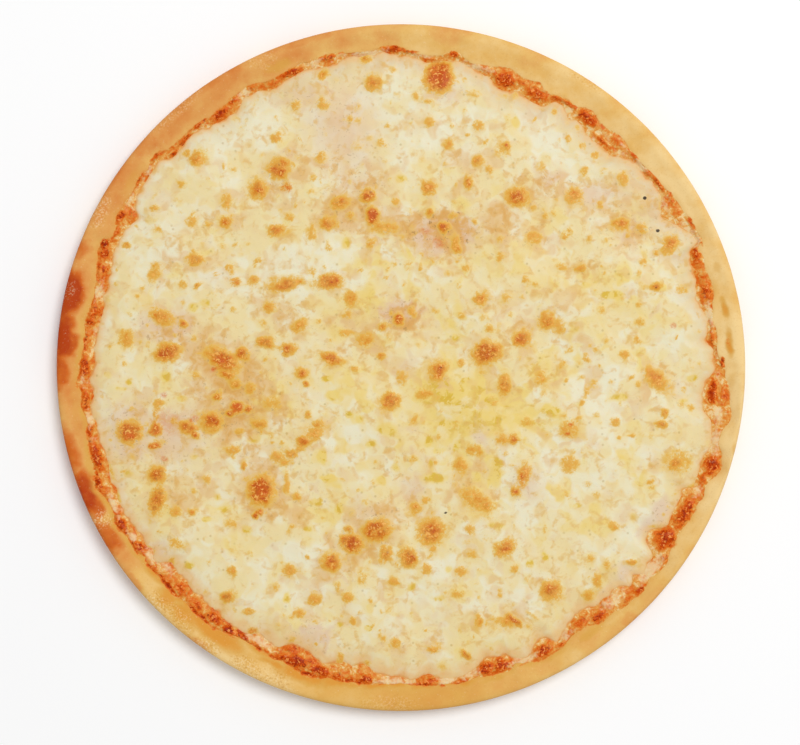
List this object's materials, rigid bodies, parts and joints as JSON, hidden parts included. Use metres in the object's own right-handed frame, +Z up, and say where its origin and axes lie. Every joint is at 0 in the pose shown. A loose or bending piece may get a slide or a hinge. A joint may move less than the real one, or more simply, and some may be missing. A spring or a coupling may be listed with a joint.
{
  "type": "cheese pizza",
  "caption": "Whole round cheese pizza: baked dough base with a low rim, a ring of tomato sauce and a sheet of melted, browned mozzarella.",
  "frame": {"origin": "centre of the flat underside, where the pizza rests", "axes": "+Z up through the cheese, the pizza lying flat in XY; +Y is away from the viewer as it is served"},
  "size_m": [0.3004, 0.2996, 0.0124],
  "materials": {
    "baked_dough": "golden baked dough, dry and soft, browned in patches at the rim",
    "tomato_sauce": "cooked tomato sauce, lumpy and oily, dark red to tan orange",
    "melted_mozzarella": "melted mozzarella, cream with yellow and pinkish places and toasted blisters"
  },
  "bodies": {
    "root": {"crust": "baked_dough", "sauce": "tomato_sauce", "cheese": "melted_mozzarella"}
  },
  "joints": []
}
